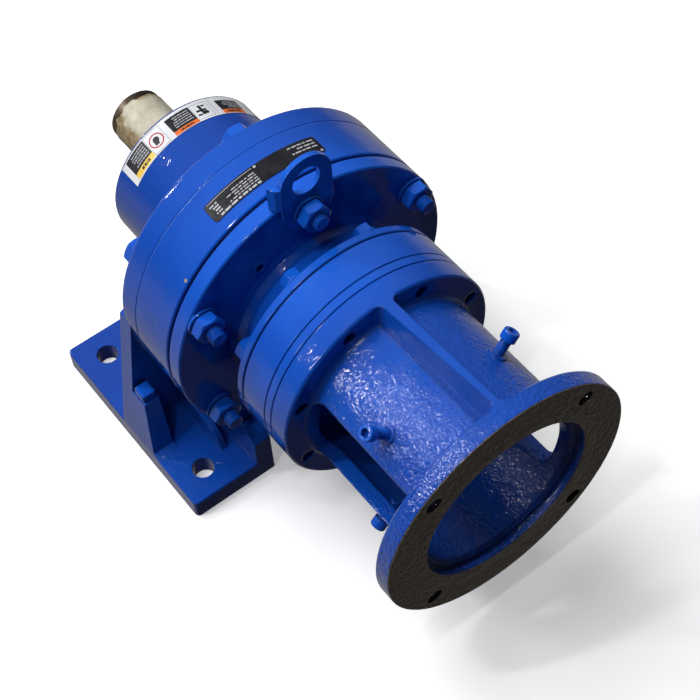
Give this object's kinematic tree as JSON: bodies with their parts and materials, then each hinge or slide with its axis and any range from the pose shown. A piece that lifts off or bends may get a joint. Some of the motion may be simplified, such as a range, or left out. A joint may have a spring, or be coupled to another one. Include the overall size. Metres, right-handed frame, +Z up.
{
  "type": "cycloidal speed reducer",
  "caption": "Foot-mounted double-reduction cycloidal speed reducer with a C-face motor lantern, a straight keyed output shaft and a lifting lug.",
  "frame": {"origin": "centre of the foot's bolt pattern on the underside of the foot", "axes": "+X along the shafts from the output end to the motor face, +Z up from the foot, +Y sideways; the shaft axis is at z = 120 mm"},
  "size_m": [0.381, 0.23, 0.2495],
  "materials": {
    "blue_casting": "gloss blue machinery enamel over rough cast iron",
    "blue_machined": "gloss blue machinery enamel over turned steel and iron",
    "blue_hardware": "fasteners painted over with the housing",
    "motor_face_iron": "machined iron under brown rust preventive",
    "shaft_steel": "ground steel",
    "tool_steel": "hardened and ground",
    "bearing_steel": "polished bearing steel",
    "bronze": "machined bearing bronze",
    "seal_rubber": "moulded nitrile rubber",
    "gasket": "compressed gasket sheet with rusty edge",
    "plate_black": "black printed aluminium plate",
    "label_white": "printed vinyl band"
  },
  "bodies": {
    "housing": {"slow_casing": "blue_casting", "gear_housing_slow": "blue_machined", "gear_housing_fast": "blue_machined", "cover_flange": "blue_casting", "bearing_cover": "blue_machined", "motor_adapter": "blue_casting", "ring_pins_slow": "tool_steel", "ring_pins_fast": "tool_steel", "output_seal": "seal_rubber", "input_seal": "seal_rubber", "casing_gasket": "gasket", "cover_gasket": "gasket", "fast_gasket": "gasket", "cover_shim": "gasket", "lantern_shim": "gasket", "through_bolts": "blue_hardware", "through_washers": "blue_hardware", "through_nuts": "blue_hardware", "adapter_bolts": "blue_hardware", "access_screws": "blue_hardware", "lifting_lug": "blue_hardware", "level_plug": "blue_hardware", "drain_plug": "blue_hardware", "nameplate": "plate_black", "label_band": "label_white", "output_rear_outer_race": "bearing_steel", "output_front_outer_race": "bearing_steel", "intermediate_outer_race": "bearing_steel", "input_outer_race": "bearing_steel"},
    "output": {"output_shaft": "shaft_steel", "output_pins": "tool_steel", "output_pin_rollers": "bearing_steel", "output_spacer": "shaft_steel", "output_spigot_bush": "bronze", "output_rear_inner_race": "bearing_steel", "output_front_inner_race": "bearing_steel"},
    "intermediate": {"intermediate_shaft": "shaft_steel", "intermediate_pins": "tool_steel", "intermediate_pin_rollers": "bearing_steel", "input_spigot_bush": "bronze", "intermediate_inner_race": "bearing_steel", "slow_cam_needles": "bearing_steel"},
    "input": {"input_shaft": "shaft_steel", "input_inner_race": "bearing_steel", "fast_cam_needles": "bearing_steel"},
    "slow_disc_a": {"slow_disc_a": "tool_steel"},
    "slow_disc_b": {"slow_disc_b": "tool_steel"},
    "fast_disc_a": {"fast_disc_a": "tool_steel"},
    "fast_disc_b": {"fast_disc_b": "tool_steel"},
    "output_rear_cage": {"output_rear_balls": "bearing_steel"},
    "output_front_cage": {"output_front_balls": "bearing_steel"},
    "intermediate_cage": {"intermediate_balls": "bearing_steel"},
    "input_cage": {"input_balls": "bearing_steel"}
  },
  "joints": [
    {"name": "input_spin", "type": "hinge", "parent": "housing", "child": "input", "pos_m": [0.15, 0, 0.12], "axis": [1, 0, 0], "continuous": true},
    {"name": "intermediate_spin", "type": "hinge", "parent": "housing", "child": "intermediate", "pos_m": [0.068, 0, 0.12], "axis": [1, 0, 0], "continuous": true},
    {"name": "output_spin", "type": "hinge", "parent": "housing", "child": "output", "pos_m": [-0.05, 0, 0.12], "axis": [1, 0, 0], "continuous": true},
    {"name": "slow_disc_a_turn", "type": "hinge", "parent": "intermediate", "child": "slow_disc_a", "pos_m": [0.02975, 0.0029, 0.12078], "axis": [1, 0, 0], "continuous": true},
    {"name": "slow_disc_b_turn", "type": "hinge", "parent": "intermediate", "child": "slow_disc_b", "pos_m": [0.04025, -0.0029, 0.11922], "axis": [1, 0, 0], "continuous": true},
    {"name": "fast_disc_a_turn", "type": "hinge", "parent": "input", "child": "fast_disc_a", "pos_m": [0.09825, 0.00193, 0.12052], "axis": [1, 0, 0], "continuous": true},
    {"name": "fast_disc_b_turn", "type": "hinge", "parent": "input", "child": "fast_disc_b", "pos_m": [0.10575, -0.00193, 0.11948], "axis": [1, 0, 0], "continuous": true},
    {"name": "output_rear_cage_turn", "type": "hinge", "parent": "housing", "child": "output_rear_cage", "pos_m": [-0.0565, 0, 0.12], "axis": [1, 0, 0], "continuous": true},
    {"name": "output_front_cage_turn", "type": "hinge", "parent": "housing", "child": "output_front_cage", "pos_m": [-0.0075, 0, 0.12], "axis": [1, 0, 0], "continuous": true},
    {"name": "intermediate_cage_turn", "type": "hinge", "parent": "housing", "child": "intermediate_cage", "pos_m": [0.068, 0, 0.12], "axis": [1, 0, 0], "continuous": true},
    {"name": "input_cage_turn", "type": "hinge", "parent": "housing", "child": "input_cage", "pos_m": [0.1224, 0, 0.12], "axis": [1, 0, 0], "continuous": true}
  ],
  "couplings": [
    {"joint": "intermediate_spin", "follows": "input_spin", "ratio": -0.090909},
    {"joint": "output_spin", "follows": "input_spin", "ratio": 0.0082645},
    {"joint": "slow_disc_a_turn", "follows": "input_spin", "ratio": 0.099174},
    {"joint": "slow_disc_b_turn", "follows": "input_spin", "ratio": 0.099174},
    {"joint": "fast_disc_a_turn", "follows": "input_spin", "ratio": -1.0909},
    {"joint": "fast_disc_b_turn", "follows": "input_spin", "ratio": -1.0909},
    {"joint": "output_rear_cage_turn", "follows": "input_spin", "ratio": 0.0033694},
    {"joint": "output_front_cage_turn", "follows": "input_spin", "ratio": 0.0034071},
    {"joint": "intermediate_cage_turn", "follows": "input_spin", "ratio": -0.036166},
    {"joint": "input_cage_turn", "follows": "input_spin", "ratio": 0.38358}
  ]
}
